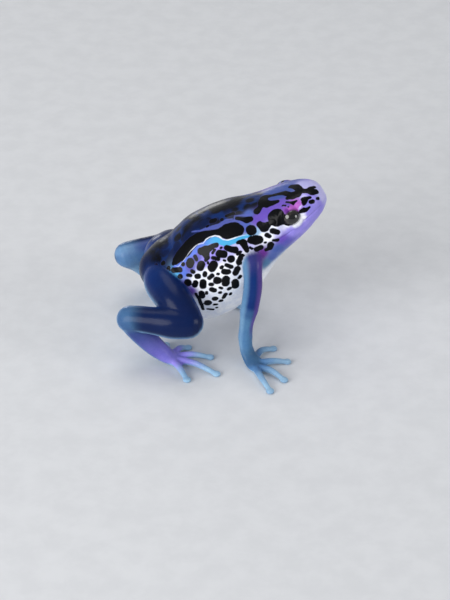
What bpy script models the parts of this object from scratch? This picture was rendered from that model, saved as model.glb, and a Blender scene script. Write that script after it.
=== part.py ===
"""Blue poison dart frog, the azureus form of Dendrobates tinctorius: an adult sitting up on its four feet.

The head points along +X, the frog's left side is +Y, up is +Z and the floor is z = 0. Tables are in millimetres.
The form is built whole from lofted tubes and balls, melted into one surface, cut flat where it stands, and then
parted with thin cuts into the head, the trunk, the two eyes and the segments of the four limbs.
"""

import math

import bmesh
import bpy
import numpy as np
from mathutils import Matrix, Vector

MM = 0.001
GAP = 0.3  # width of every parting cut
VOXEL = 0.3  # cell of the melted surface
SOFTEN = 5  # rounds of smoothing after it
TRIANGLES = 4300  # faces of the whole form before it is parted
EYE_RADIUS = 2.05
EYE_PLACE = (15.85, 5.5, 32.15)
EYE_AXIS = (0.30, 0.90, 0.30)  # where the left eye looks
ORBIT_RADIUS = 2.85
SOCKET_GAP = 0.22
APERTURE = (1.95, 1.5)  # half length and half height of the opening between the lids
DIGIT_BASE, DIGIT_NECK = 0.85, 0.56  # radii of fingers and toes
DISC_RADIUS, DISC_THICKNESS = 0.95, 1.1
NECK_X = 10.9  # where the cut behind the head crosses the spine
CENTRE_X = 0.63  # the middle of the frog's length in these tables, which the holder brings over the origin
LEFT_HAND_STEP = -6.3  # the left hand stands this much further back than the right one
LEFT_KNEE_STEP = -1.6  # and so do the left knee and heel
LEFT_FOOT_STEP = (-0.7, 2.8)
LEFT_FOOT_TURN = 20.0  # degrees, toes outward

# trunk and head along the spine: x, z, half width, height above, depth below, squareness above, squareness below
SPINE = (
    (-15.6, 13.4, 0.8, 0.8, 0.8, 2.0, 2.0),
    (-14.9, 13.8, 3.2, 3.0, 2.8, 2.0, 2.0),
    (-13.2, 14.6, 5.6, 5.0, 4.8, 2.0, 2.0),
    (-10.4, 15.4, 7.5, 6.8, 8.1, 2.1, 2.0),
    (-6.8, 16.1, 9.0, 8.5, 12.0, 2.1, 2.0),
    (-3.2, 17.4, 9.9, 9.7, 13.0, 2.1, 2.0),
    (0.4, 19.5, 10.2, 10.2, 12.0, 2.1, 2.0),
    (3.8, 22.0, 9.8, 9.8, 10.6, 2.1, 2.1),
    (7.0, 24.4, 8.8, 8.8, 8.8, 2.2, 2.1),
    (9.8, 26.4, 7.9, 7.4, 7.3, 2.2, 2.2),
    (12.2, 28.1, 7.4, 6.3, 6.4, 2.3, 2.3),
    (14.6, 29.8, 7.2, 5.5, 5.7, 2.4, 2.4),
    (16.8, 31.3, 6.8, 4.8, 5.1, 2.5, 2.4),
    (18.8, 32.5, 6.0, 4.2, 4.5, 2.6, 2.3),
    (20.6, 33.3, 5.0, 3.6, 3.7, 2.6, 2.2),
    (22.0, 33.8, 3.8, 2.8, 2.8, 2.4, 2.1),
    (22.9, 34.1, 2.3, 1.7, 1.6, 2.1, 2.0),
    (23.3, 34.3, 0.5, 0.4, 0.4, 2.0, 2.0),
)

# right limbs: x, y, z, radius across, radius up. The left ones are their mirror images, apart from the steps above
THIGH = ((-11.6, -2.5, 16.0, 3.5, 3.6), (-11.0, -6.0, 15.9, 4.0, 4.1), (-8.7, -10.6, 14.9, 3.8, 3.9),
         (-6.6, -13.6, 13.2, 3.5, 3.5), (-5.8, -15.0, 12.2, 3.4, 3.4))
SHANK = ((-5.7, -15.2, 12.0, 3.4, 3.5), (-9.0, -15.0, 11.9, 3.4, 3.5), (-12.6, -14.4, 11.9, 2.9, 3.0),
         (-15.8, -13.5, 11.8, 2.8, 2.8), (-17.9, -12.9, 11.4, 2.9, 2.9))
TARSUS = ((-17.8, -12.8, 11.2, 2.8, 2.8), (-16.0, -12.7, 8.2, 2.5, 2.5), (-13.5, -12.5, 4.9, 2.3, 2.2),
          (-11.4, -12.4, 2.7, 2.0, 1.9), (-9.9, -12.4, 1.5, 2.0, 1.4))
LEFT_TARSUS = ((-19.3, 12.9, 11.2, 2.8, 2.8), (-16.9, 14.8, 8.4, 2.5, 2.5), (-14.2, 15.6, 5.0, 2.3, 2.2),
               (-12.2, 15.4, 2.7, 2.0, 1.9), (-10.6, 15.2, 1.5, 2.0, 1.4))
SOLE = ((-11.0, -12.4, 2.1, 1.9, 1.7), (-9.6, -12.3, 1.2, 2.3, 1.2), (-7.8, -12.4, 0.65, 2.5, 0.8))
TOES = (
    ((-9.6, -10.8, 0.9), (-10.2, -8.8, 1.0), (-10.6, -6.6, 0.45)),
    ((-8.8, -10.6, 0.9), (-7.6, -8.8, 1.1), (-5.9, -7.6, 0.45)),
    ((-8.2, -11.4, 0.8), (-4.8, -11.3, 1.2), (-1.1, -11.2, 0.45)),
    ((-7.8, -12.8, 0.8), (-4.0, -14.8, 1.2), (0.3, -17.4, 0.45)),
    ((-8.6, -13.8, 0.9), (-7.4, -16.4, 1.1), (-5.9, -19.5, 0.45)),
)
UPPER_ARM = ((7.0, -5.0, 24.0, 2.8, 2.8), (7.8, -8.4, 22.8, 2.3, 2.3), (8.0, -9.9, 20.8, 2.0, 2.0),
             (8.0, -10.8, 17.6, 2.0, 2.0), (7.3, -11.5, 12.6, 1.9, 1.9))
FOREARM = ((7.2, -11.5, 12.6, 1.9, 1.9), (6.7, -11.8, 9.2, 1.5, 1.5), (6.5, -12.0, 6.0, 1.6, 1.5),
           (6.7, -12.0, 3.2, 1.5, 1.4))
PALM = ((6.7, -12.0, 3.4, 1.5, 1.4), (7.3, -12.7, 1.9, 1.7, 1.15), (8.4, -14.0, 0.9, 2.1, 0.9),
        (9.2, -15.0, 0.65, 2.1, 0.75))
FINGERS = (
    ((8.4, -12.6, 0.8), (10.0, -9.6, 1.1), (12.5, -8.0, 0.45)),
    ((9.4, -13.8, 0.7), (12.4, -13.6, 1.1), (15.4, -12.9, 0.45)),
    ((9.4, -15.4, 0.7), (12.0, -17.2, 1.1), (14.6, -19.6, 0.45)),
    ((8.8, -16.0, 0.7), (9.8, -19.6, 1.1), (11.6, -23.6, 0.45)),
)

COLOURS = {
    "head": (0.10, 0.09, 0.50), "trunk": (0.02, 0.04, 0.16), "arm": (0.09, 0.19, 0.45), "hand": (0.25, 0.42, 0.72),
    "thigh": (0.01, 0.03, 0.15), "shank": (0.02, 0.05, 0.20), "tarsus": (0.14, 0.14, 0.52), "foot": (0.25, 0.34, 0.70),
    "eye": (0.004, 0.004, 0.006),
}


def spline(table, steps):
    """A Catmull-Rom curve through the rows of a table, in `steps` samples a span."""
    rows = np.array(table, float)
    rows = np.vstack([2 * rows[0] - rows[1], rows, 2 * rows[-1] - rows[-2]])
    out = []
    for i in range(1, len(rows) - 2):
        a, b, c, d = rows[i - 1 : i + 3]
        for t in np.arange(steps) / steps:
            out.append(0.5 * (2 * b + (c - a) * t + (2 * a - 5 * b + 4 * c - d) * t**2 + (3 * b - a - 3 * c + d) * t**3))
    out.append(rows[-2])
    return np.array(out)


def unit(v):
    return v / np.linalg.norm(v, axis=-1, keepdims=True)


def spine_rings(steps, sides, grow=0.0):
    """Rings of the trunk and head, square to the spine, each a superellipse with its own upper and lower half."""
    rows = spline(SPINE, steps)
    rows[:, 2:5] = np.maximum(rows[:, 2:5], 0.15) + grow
    along = unit(np.gradient(rows[:, :2], axis=0))
    angle = 2 * np.pi * np.arange(sides) / sides
    c, s = np.cos(angle), np.sin(angle)
    rings = []
    for (x, z, wide, high, deep, n_up, n_down), (tx, tz) in zip(rows, along):
        n = np.where(s >= 0, n_up, n_down)
        y = wide * np.sign(c) * np.abs(c) ** (2 / n)
        w = np.where(s >= 0, high, deep) * np.sign(s) * np.abs(s) ** (2 / n)
        rings.append(np.array([x, 0, z]) + np.outer(y, [0, 1, 0]) + np.outer(w, [-tz, 0, tx]))
    if grow:
        rings[0] -= grow * np.array([along[0][0], 0, along[0][1]])
        rings[-1] += grow * np.array([along[-1][0], 0, along[-1][1]])
    return rings


def tube_rings(table, steps, sides, caps=3):
    """Rings of a round-ended tube through a table of x, y, z, radius across, radius up."""
    rows = spline(table, steps)
    rows[:, 3:] = np.maximum(rows[:, 3:], 0.2)
    along = unit(np.gradient(rows[:, :3], axis=0))
    ends = []
    for row, t in ((rows[0], -along[0]), (rows[-1], along[-1])):
        radius = row[3:].mean()
        end = []
        for k in range(1, caps + 1):
            a = math.pi / 2 * k / caps
            q = row.copy()
            q[:3] += t * radius * math.sin(a)
            q[3:] *= max(math.cos(a), 0.04)
            end.append(q)
        ends.append(end)
    rows = np.vstack([ends[0][::-1], rows, ends[1]])
    along = np.vstack([[along[0]] * caps, along, [along[-1]] * caps])
    angle = 2 * np.pi * np.arange(sides) / sides
    rings = []
    for row, t in zip(rows, along):
        up = unit(np.array([0, 0, 1.0]) - t[2] * t)
        across = np.cross(t, up)
        rings.append(row[:3] + np.outer(np.cos(angle) * row[3], across) + np.outer(np.sin(angle) * row[4], up))
    return rings


def add_loft(bm, rings):
    loops = [[bm.verts.new(Vector(p) * MM) for p in ring] for ring in rings]
    n = len(rings[0])
    faces = []
    for a, b in zip(loops, loops[1:]):
        for i in range(n):
            faces.append(bm.faces.new((a[i], a[(i + 1) % n], b[(i + 1) % n], b[i])))
    faces += [bm.faces.new(loops[0][::-1]), bm.faces.new(loops[-1])]
    bmesh.ops.recalc_face_normals(bm, faces=faces)


def add_ball(bm, centre, radius, squash=1.0, segments=24):
    matrix = Matrix.Translation(Vector(centre) * MM) @ Matrix.Diagonal((1, 1, squash, 1))
    bmesh.ops.create_uvsphere(bm, u_segments=segments, v_segments=segments * 2 // 3, radius=radius * MM, matrix=matrix)


def make_object(name, bm):
    mesh = bpy.data.meshes.new(name)
    bm.to_mesh(mesh)
    bm.free()
    obj = bpy.data.objects.new(name, mesh)
    bpy.context.scene.collection.objects.link(obj)
    return obj


def as_left(rows, step_x=0.0, step_y=0.0, full=None, none=None, turn=0.0, about=(0.0, 0.0)):
    """The mirror image of a right limb's table. Its low end is stepped away, blending out from height full to none."""
    rows = np.array(rows, float)
    rows[:, 1] *= -1
    if full is not None:
        low = np.clip((none - rows[:, 2]) / (none - full), 0, 1)
        rows[:, 0] += step_x * low
        rows[:, 1] += step_y * low
    if turn:
        c, s = math.cos(math.radians(turn)), math.sin(math.radians(turn))
        dx, dy = rows[:, 0] - about[0], rows[:, 1] - about[1]
        rows[:, 0], rows[:, 1] = about[0] + c * dx - s * dy, about[1] + s * dx + c * dy
    return rows


def limb_tables(side):
    """All tables of one side, with the left hand and foot stepped and turned."""
    if side == "right":
        arm = sole = lambda rows: np.array(rows, float)

        def leg(rows, first, last):
            return np.array(rows, float)
    else:
        def arm(rows):
            return as_left(rows, LEFT_HAND_STEP, 0.0, 3.0, 22.0)

        def leg(rows, first, last):
            rows = as_left(rows)
            rows[:, 0] += LEFT_KNEE_STEP * np.linspace(first, last, len(rows))
            return rows

        heel = LEFT_TARSUS[-1]

        def sole(rows):
            return as_left(rows, *LEFT_FOOT_STEP, 2.0, 11.6, LEFT_FOOT_TURN, heel[:2])
    return {
        "thigh": leg(THIGH, 0, 1), "shank": leg(SHANK, 1, 1),
        "tarsus": np.array(TARSUS if side == "right" else LEFT_TARSUS, float),
        "sole": sole(SOLE), "toes": [sole(t) for t in TOES],
        "upper_arm": arm(UPPER_ARM), "forearm": arm(FOREARM), "palm": arm(PALM), "fingers": [arm(f) for f in FINGERS],
    }


def add_digit(bm, points):
    root, knuckle, tip = points
    middle = (DIGIT_BASE + DIGIT_NECK) / 2
    table = ((*root, DIGIT_BASE, DIGIT_BASE), (*knuckle, middle, middle), (*tip, DIGIT_NECK, DIGIT_NECK * 0.9))
    add_loft(bm, tube_rings(table, 6, 12))
    add_ball(bm, tip + 0.1 * unit(tip - knuckle), DISC_RADIUS, DISC_THICKNESS / 2 / DISC_RADIUS)


def whole_form():
    """Trunk, head, limbs and orbits as one melted, softened and thinned-out surface, still whole."""
    bm = bmesh.new()
    add_loft(bm, spine_rings(6, 48))
    for side, sign in (("right", -1), ("left", 1)):
        tables = limb_tables(side)
        for name in ("thigh", "shank", "tarsus", "sole", "upper_arm", "forearm", "palm"):
            add_loft(bm, tube_rings(tables[name], 8, 24))
        for digit in tables["toes"] + tables["fingers"]:
            add_digit(bm, digit)
        add_ball(bm, (EYE_PLACE[0], sign * EYE_PLACE[1], EYE_PLACE[2]), ORBIT_RADIUS, segments=36)
    form = make_object("form", bm)
    melt = form.modifiers.new("melt", "REMESH")
    melt.mode, melt.voxel_size = "VOXEL", VOXEL * MM
    soften = form.modifiers.new("soften", "SMOOTH")
    soften.factor, soften.iterations = 0.5, SOFTEN
    settle(form)
    thin = form.modifiers.new("thin", "DECIMATE")
    thin.ratio = TRIANGLES / (2 * len(form.data.polygons))
    settle(form)
    return form


def settle(obj):
    """Make an object's modifiers part of its mesh."""
    bpy.context.view_layer.update()
    done = bpy.data.meshes.new_from_object(obj.evaluated_get(bpy.context.evaluated_depsgraph_get()))
    obj.modifiers.clear()
    obj.data = done


def carve(obj, bm, how="DIFFERENCE"):
    """Cut a shape out of an object, or keep only what lies inside it."""
    cutter = make_object("cutter", bm)
    cut = obj.modifiers.new("cut", "BOOLEAN")
    cut.object, cut.operation, cut.solver = cutter, how, "EXACT"
    settle(obj)
    bpy.data.objects.remove(cutter)


def copy_of(obj, name):
    twin = bpy.data.objects.new(name, obj.data.copy())
    bpy.context.scene.collection.objects.link(twin)
    return twin


def stand_flat(obj):
    """Cut the form at the floor, which leaves a flat under every palm, sole and disc."""
    bm = bmesh.new()
    bm.from_mesh(obj.data)
    bmesh.ops.bisect_plane(bm, geom=bm.verts[:] + bm.edges[:] + bm.faces[:], dist=1e-6, plane_co=(0, 0, 0),
                           plane_no=(0, 0, -1), clear_outer=True)
    bmesh.ops.holes_fill(bm, edges=[e for e in bm.edges if e.is_boundary], sides=0)
    bmesh.ops.triangulate(bm, faces=bm.faces[:])
    bm.to_mesh(obj.data)
    bm.free()


def slab(centre, normal, along, reach, width, thickness=GAP):
    """A thin box: centred on a point, square to normal, from reach[0] to reach[1] along one way, width the other."""
    n = Vector(unit(np.array(normal, float)))
    a = Vector(along)
    a = (a - a.dot(n) * n).normalized()
    b = n.cross(a)
    frame = Matrix((a, b, n)).transposed().to_4x4()
    size = Matrix.Diagonal((reach[1] - reach[0], width, thickness, 1))
    middle = Vector(centre) + a * (reach[0] + reach[1]) / 2
    bm = bmesh.new()
    bmesh.ops.create_cube(bm, size=1.0, matrix=Matrix.Scale(MM, 4) @ Matrix.Translation(middle) @ frame @ size)
    return bm


def fold_slab(upper, lower, width):
    """The cut between two segments folded against each other: it halves the angle that they make at their joint."""
    joint = (upper[-1][:3] + lower[0][:3]) / 2
    to_upper, to_lower = unit(upper[-3][:3] - joint), unit(lower[2][:3] - joint)
    return slab(joint, to_upper - to_lower, to_upper + to_lower, (-5.5, 10.5), width)


def cross_slab(table, row, width):
    """The cut square across a segment at one row of its table."""
    table = np.array(table, float)
    ahead, behind = min(row + 1, len(table) - 1), max(row - 1, 0)
    return slab(table[row][:3], table[ahead][:3] - table[behind][:3], (0, 1, 0), (-width / 2, width / 2), width)


def loose_parts(obj):
    """The separate closed surfaces of an object, as new objects, largest first. Crumbs are dropped."""
    bm = bmesh.new()
    bm.from_mesh(obj.data)
    bm.verts.ensure_lookup_table()
    seen, parts = set(), []
    for start in bm.verts:
        if start.index in seen:
            continue
        island, queue = {start.index}, [start]
        while queue:
            for edge in queue.pop().link_edges:
                for vert in edge.verts:
                    if vert.index not in island:
                        island.add(vert.index)
                        queue.append(vert)
        seen |= island
        piece = bm.copy()
        piece.verts.ensure_lookup_table()
        bmesh.ops.delete(piece, geom=[v for v in piece.verts if v.index not in island], context="VERTS")
        volume = abs(piece.calc_volume()) / MM**3
        if volume > 1.0:
            parts.append((volume, piece))
        else:
            piece.free()
    bm.free()
    bpy.data.objects.remove(obj)
    parts.sort(key=lambda p: -p[0])
    return [make_object("loose", piece) for _, piece in parts]


def centre_of(obj):
    points = np.array([v.co for v in obj.data.vertices])
    return (points.min(0) + points.max(0)) / 2 / MM


def nearest(parts, point):
    """The part with a vertex closest to a point on a segment's own axis."""
    def distance(obj):
        points = np.array([v.co for v in obj.data.vertices]) / MM
        return np.linalg.norm(points - point, axis=1).min()
    return min(parts, key=distance)


def material(name, colour, roughness):
    mat = bpy.data.materials.new(name)
    mat.use_nodes = True
    shader = mat.node_tree.nodes["Principled BSDF"]
    shader.inputs["Base Color"].default_value = (*colour, 1)
    shader.inputs["Roughness"].default_value = roughness
    shader.inputs["Metallic"].default_value = 0.0
    return mat


def finish(obj, name, kind, holder):
    """Name a part, clean its mesh, put its origin at its middle and hang it on the holder."""
    bm = bmesh.new()
    bm.from_mesh(obj.data)
    bmesh.ops.remove_doubles(bm, verts=bm.verts[:], dist=0.00001)
    bmesh.ops.dissolve_degenerate(bm, edges=bm.edges[:], dist=0.00001)
    bmesh.ops.triangulate(bm, faces=bm.faces[:])
    bmesh.ops.recalc_face_normals(bm, faces=bm.faces[:])
    bm.to_mesh(obj.data)
    bm.free()
    middle = Vector(centre_of(obj)) * MM
    obj.data.transform(Matrix.Translation(-middle))
    obj.location = middle
    obj.name = obj.data.name = name
    obj.data.materials.clear()
    obj.data.materials.append(material(name, COLOURS[kind], 0.08 if kind == "eye" else 0.32))
    obj.parent = holder


def open_eye(head, sign):
    """Hollow the orbit for the eyeball and open the lids along the line in which the eye looks."""
    centre = np.array([EYE_PLACE[0], sign * EYE_PLACE[1], EYE_PLACE[2]])
    bm = bmesh.new()
    add_ball(bm, centre, EYE_RADIUS + SOCKET_GAP, segments=21)
    carve(head, bm)
    look = Vector((EYE_AXIS[0], sign * EYE_AXIS[1], EYE_AXIS[2])).normalized()
    jaw = Vector((math.cos(math.radians(32)), 0, math.sin(math.radians(32))))
    long = (jaw - jaw.dot(look) * look).normalized()
    tall = look.cross(long)
    frame = Matrix((long, tall, look)).transposed().to_4x4()
    bm = bmesh.new()
    depth = 4.0
    bmesh.ops.create_cone(bm, cap_ends=True, segments=22, radius1=1, radius2=1, depth=1,
                          matrix=Matrix.Scale(MM, 4) @ Matrix.Translation(Vector(centre) + look * (1.0 + depth / 2)) @ frame
                          @ Matrix.Diagonal((APERTURE[0], APERTURE[1], depth, 1)))
    carve(head, bm)


def build():
    for obj in list(bpy.data.objects):
        bpy.data.objects.remove(obj)
    holder = bpy.data.objects.new("frog", None)
    bpy.context.scene.collection.objects.link(holder)
    holder.location = (-CENTRE_X * MM, 0, 0)

    form = whole_form()
    stand_flat(form)

    # the neck cut, square to the spine
    spine = spline(SPINE, 12)
    k = int(np.argmin(np.abs(spine[:, 0] - NECK_X)))
    lean = unit(spine[k + 1, :2] - spine[k - 1, :2])
    carve(form, slab((spine[k, 0], 0, spine[k, 1]), (lean[0], 0, lean[1]), (0, 1, 0), (-15, 15), 30))
    parts = loose_parts(form)
    head = nearest(parts, np.array([22.0, 0, 33.5]))
    body = next(p for p in parts if p is not head)

    # the trunk keeps its own round sides, and the limbs are hollowed to lie against them
    limbs = copy_of(body, "limbs")
    bm = bmesh.new()
    add_loft(bm, spine_rings(3, 36, 0.3))
    carve(body, bm, "INTERSECT")
    bm = bmesh.new()
    add_loft(bm, spine_rings(3, 36, 0.3 + GAP))
    carve(limbs, bm)
    trunk, *_ = loose_parts(body)
    limbs = loose_parts(limbs)

    for side, sign in (("right", -1), ("left", 1)):
        tables = limb_tables(side)
        leg = nearest(limbs, tables["shank"][2][:3])
        arm = nearest(limbs, tables["forearm"][1][:3])
        limbs = [p for p in limbs if p not in (leg, arm)]
        carve(leg, fold_slab(tables["thigh"], tables["shank"], 10))
        carve(leg, fold_slab(tables["shank"], tables["tarsus"], 9))
        carve(leg, cross_slab(tables["tarsus"], 3, 6.4))
        carve(arm, cross_slab(tables["forearm"], 0, 7))
        carve(arm, cross_slab(tables["forearm"], 3, 5))
        legs, arms = loose_parts(leg), loose_parts(arm)
        for kind, row, pool in (("thigh", 2, legs), ("shank", 2, legs), ("tarsus", 1, legs), ("sole", 2, legs),
                                ("upper_arm", 3, arms), ("forearm", 1, arms), ("palm", 2, arms)):
            piece = nearest(pool, tables[kind][row][:3])
            name = {"sole": "foot", "palm": "hand"}.get(kind, kind)
            colour = {"sole": "foot", "palm": "hand", "upper_arm": "arm", "forearm": "arm"}.get(kind, kind)
            finish(piece, f"{name}_{side}", colour, holder)
        open_eye(head, sign)
        bm = bmesh.new()
        add_ball(bm, (EYE_PLACE[0], sign * EYE_PLACE[1], EYE_PLACE[2]), EYE_RADIUS, segments=18)
        finish(make_object("eye", bm), f"eye_{side}", "eye", holder)
    finish(head, "head", "head", holder)
    finish(trunk, "trunk", "trunk", holder)
    for mesh in list(bpy.data.meshes):
        if not mesh.users:
            bpy.data.meshes.remove(mesh)


build()
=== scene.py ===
"""Blue poison dart frog, the azureus form of Dendrobates tinctorius: one skin over the whole body, and two eyes.

Tables are in millimetres, head along +X, the frog's left side +Y. The middle of the frog's length is at x = CENTRE_X in
them, which the last step brings over the origin.
"""

import math

import bmesh
import bpy
import numpy as np
from mathutils import Matrix, Vector


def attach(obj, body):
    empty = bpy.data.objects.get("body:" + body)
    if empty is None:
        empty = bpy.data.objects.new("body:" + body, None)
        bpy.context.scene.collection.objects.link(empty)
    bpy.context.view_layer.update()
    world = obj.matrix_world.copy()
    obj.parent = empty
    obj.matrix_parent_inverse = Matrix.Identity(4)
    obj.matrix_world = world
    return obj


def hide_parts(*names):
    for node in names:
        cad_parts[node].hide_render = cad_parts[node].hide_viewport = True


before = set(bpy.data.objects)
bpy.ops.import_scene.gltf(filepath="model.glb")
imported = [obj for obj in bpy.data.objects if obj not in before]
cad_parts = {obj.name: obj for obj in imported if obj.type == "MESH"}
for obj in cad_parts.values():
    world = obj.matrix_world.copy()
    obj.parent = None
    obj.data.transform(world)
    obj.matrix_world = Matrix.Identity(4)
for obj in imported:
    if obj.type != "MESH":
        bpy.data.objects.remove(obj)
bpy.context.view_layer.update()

MM = 0.001
CENTRE_X = 0.63
MARK_GROWTH = 0.10  # every black marking is this much wider all round than its table says
VOXEL = 0.2
SOFTEN = 11

EYE_RADIUS = 2.05
EYE_PLACE = (15.85, 5.5, 32.15)
EYE_AXIS = (0.30, 0.90, 0.30)
ORBIT_RADIUS = 2.85
DIGIT_BASE, DIGIT_NECK = 0.85, 0.56
DISC_RADIUS, DISC_THICKNESS = 0.95, 1.1
LEFT_HAND_STEP = -6.3
LEFT_KNEE_STEP = -1.6
LEFT_FOOT_STEP = (-0.7, 2.8)
LEFT_FOOT_TURN = 20.0

# trunk and head along the spine: x, z, half width, height above, depth below, squareness above, squareness below
SPINE = (
    (-15.6, 13.4, 0.8, 0.8, 0.8, 2.0, 2.0),
    (-14.9, 13.8, 3.2, 3.0, 2.8, 2.0, 2.0),
    (-13.2, 14.6, 5.6, 5.0, 4.8, 2.0, 2.0),
    (-10.4, 15.4, 7.5, 6.8, 8.1, 2.1, 2.0),
    (-6.8, 16.1, 9.0, 8.5, 12.0, 2.1, 2.0),
    (-3.2, 17.4, 9.9, 9.7, 13.0, 2.1, 2.0),
    (0.4, 19.5, 10.2, 10.2, 12.0, 2.1, 2.0),
    (3.8, 22.0, 9.8, 9.8, 10.6, 2.1, 2.1),
    (7.0, 24.4, 8.8, 8.8, 8.8, 2.2, 2.1),
    (9.8, 26.4, 7.9, 7.4, 7.3, 2.2, 2.2),
    (12.2, 28.1, 7.4, 6.3, 6.4, 2.3, 2.3),
    (14.6, 29.8, 7.2, 5.5, 5.7, 2.4, 2.4),
    (16.8, 31.3, 6.8, 4.8, 5.1, 2.5, 2.4),
    (18.8, 32.5, 6.0, 4.2, 4.5, 2.6, 2.3),
    (20.6, 33.3, 5.0, 3.6, 3.7, 2.6, 2.2),
    (22.0, 33.8, 3.8, 2.8, 2.8, 2.4, 2.1),
    (22.9, 34.1, 2.3, 1.7, 1.6, 2.1, 2.0),
    (23.3, 34.3, 0.5, 0.4, 0.4, 2.0, 2.0),
)

# right limbs: x, y, z, radius across, radius up
THIGH = ((-11.6, -2.5, 16.0, 3.5, 3.6), (-11.0, -6.0, 15.9, 4.0, 4.1), (-8.7, -10.6, 14.9, 3.8, 3.9),
         (-6.6, -13.6, 13.2, 3.5, 3.5), (-5.8, -15.0, 12.2, 3.4, 3.4))
SHANK = ((-5.7, -15.2, 12.0, 3.4, 3.5), (-9.0, -15.0, 11.9, 3.4, 3.5), (-12.6, -14.4, 11.9, 2.9, 3.0),
         (-15.8, -13.5, 11.8, 2.8, 2.8), (-17.9, -12.9, 11.4, 2.9, 2.9))
TARSUS = ((-17.8, -12.8, 11.2, 2.8, 2.8), (-16.0, -12.7, 8.2, 2.5, 2.5), (-13.5, -12.5, 4.9, 2.3, 2.2),
          (-11.4, -12.4, 2.7, 2.0, 1.9), (-9.9, -12.4, 1.5, 2.0, 1.4))
LEFT_TARSUS = ((-19.3, 12.9, 11.2, 2.8, 2.8), (-16.9, 14.8, 8.4, 2.5, 2.5), (-14.2, 15.6, 5.0, 2.3, 2.2),
               (-12.2, 15.4, 2.7, 2.0, 1.9), (-10.6, 15.2, 1.5, 2.0, 1.4))
SOLE = ((-11.0, -12.4, 2.1, 1.9, 1.7), (-9.6, -12.3, 1.2, 2.3, 1.2), (-7.8, -12.4, 0.65, 2.5, 0.8))
TOES = (
    ((-9.6, -10.8, 0.9), (-10.2, -8.8, 1.0), (-10.6, -6.6, 0.45)),
    ((-8.8, -10.6, 0.9), (-7.6, -8.8, 1.1), (-5.9, -7.6, 0.45)),
    ((-8.2, -11.4, 0.8), (-4.8, -11.3, 1.2), (-1.1, -11.2, 0.45)),
    ((-7.8, -12.8, 0.8), (-4.0, -14.8, 1.2), (0.3, -17.4, 0.45)),
    ((-8.6, -13.8, 0.9), (-7.4, -16.4, 1.1), (-5.9, -19.5, 0.45)),
)
UPPER_ARM = ((7.0, -5.0, 24.0, 2.8, 2.8), (7.8, -8.4, 22.8, 2.3, 2.3), (8.0, -9.9, 20.8, 2.0, 2.0),
             (8.0, -10.8, 17.6, 2.0, 2.0), (7.3, -11.5, 12.6, 1.9, 1.9))
FOREARM = ((7.2, -11.5, 12.6, 1.9, 1.9), (6.7, -11.8, 9.2, 1.5, 1.5), (6.5, -12.0, 6.0, 1.6, 1.5),
           (6.7, -12.0, 3.2, 1.5, 1.4))
PALM = ((6.7, -12.0, 3.4, 1.5, 1.4), (7.3, -12.7, 1.9, 1.7, 1.15), (8.4, -14.0, 0.9, 2.1, 0.9),
        (9.2, -15.0, 0.65, 2.1, 0.75))
FINGERS = (
    ((8.4, -12.6, 0.8), (10.0, -9.6, 1.1), (12.5, -8.0, 0.45)),
    ((9.4, -13.8, 0.7), (12.4, -13.6, 1.1), (15.4, -12.9, 0.45)),
    ((9.4, -15.4, 0.7), (12.0, -17.2, 1.1), (14.6, -19.6, 0.45)),
    ((8.8, -16.0, 0.7), (9.8, -19.6, 1.1), (11.6, -23.6, 0.45)),
)

PALETTE = {
    "ink": "04060d", "navy": "0a1940", "royal": "143f8c", "slate": "5066b0", "iris": "605eb8", "violet": "6e54b8",
    "lavender": "9a8ee6", "pale": "c6c2f2", "magenta": "b862c4", "plum": "6c3090", "steel": "5684ae", "sky": "98bedb",
    "dusk": "42579e", "cyan": "4cacdf", "periwinkle": "5a76d8", "white": "fbfcff",
}

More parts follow.
